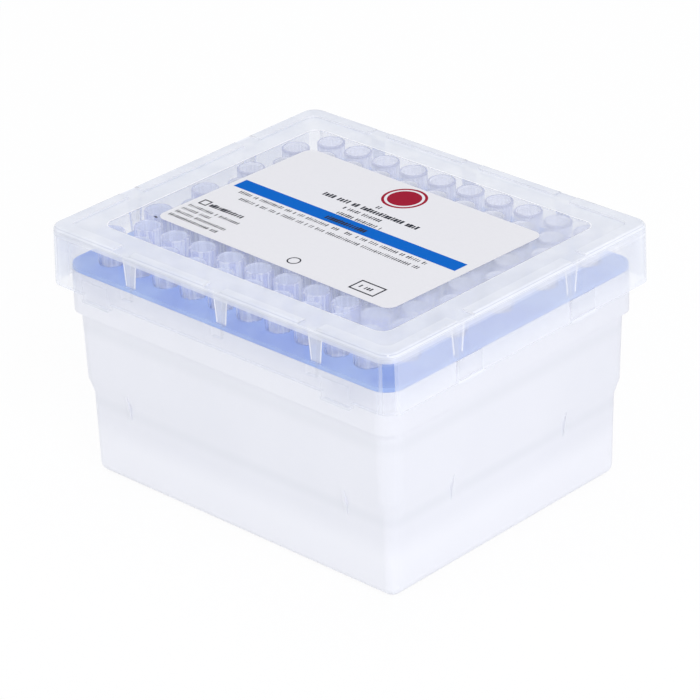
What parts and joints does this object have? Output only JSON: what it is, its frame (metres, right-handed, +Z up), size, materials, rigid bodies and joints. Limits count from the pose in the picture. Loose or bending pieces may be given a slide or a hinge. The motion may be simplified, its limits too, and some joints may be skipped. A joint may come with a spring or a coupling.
{
  "type": "pipette tip box",
  "caption": "Milky plastic box whose blue rack plate holds staggered rows of filter pipette tips, under a clear lift-off lid with a label.",
  "frame": {"origin": "middle of the base's underside", "axes": "+X along the long side, towards the right as the label is read, +Y to the back, +Z up"},
  "size_m": [0.1418, 0.1196, 0.0845],
  "materials": {
    "base_plastic": "milky natural polypropylene, faintly translucent",
    "rack_plastic": "light blue polypropylene",
    "lid_plastic": "clear, slightly hazy polypropylene",
    "tip_plastic": "clear natural polypropylene",
    "filter_fibre": "white porous polyethylene",
    "label_paper": "printed paper sticker, satin"
  },
  "bodies": {
    "box": {"base_box": "base_plastic", "tip_rack": "rack_plastic", "tips_row_01": "tip_plastic", "tips_row_02": "tip_plastic", "tips_row_03": "tip_plastic", "tips_row_04": "tip_plastic", "tips_row_05": "tip_plastic", "tips_row_06": "tip_plastic", "tips_row_07": "tip_plastic", "tips_row_08": "tip_plastic", "tips_row_09": "tip_plastic", "tips_row_10": "tip_plastic", "filters_row_01": "filter_fibre", "filters_row_02": "filter_fibre", "filters_row_03": "filter_fibre", "filters_row_04": "filter_fibre", "filters_row_05": "filter_fibre", "filters_row_06": "filter_fibre", "filters_row_07": "filter_fibre", "filters_row_08": "filter_fibre", "filters_row_09": "filter_fibre", "filters_row_10": "filter_fibre"},
    "lid": {"lid": "lid_plastic", "lid_label": "label_paper"}
  },
  "joints": [
    {"name": "lid_lift", "type": "slide", "parent": "box", "child": "lid", "axis": [0, 0, 1], "range_m": [0, 0.05]}
  ]
}
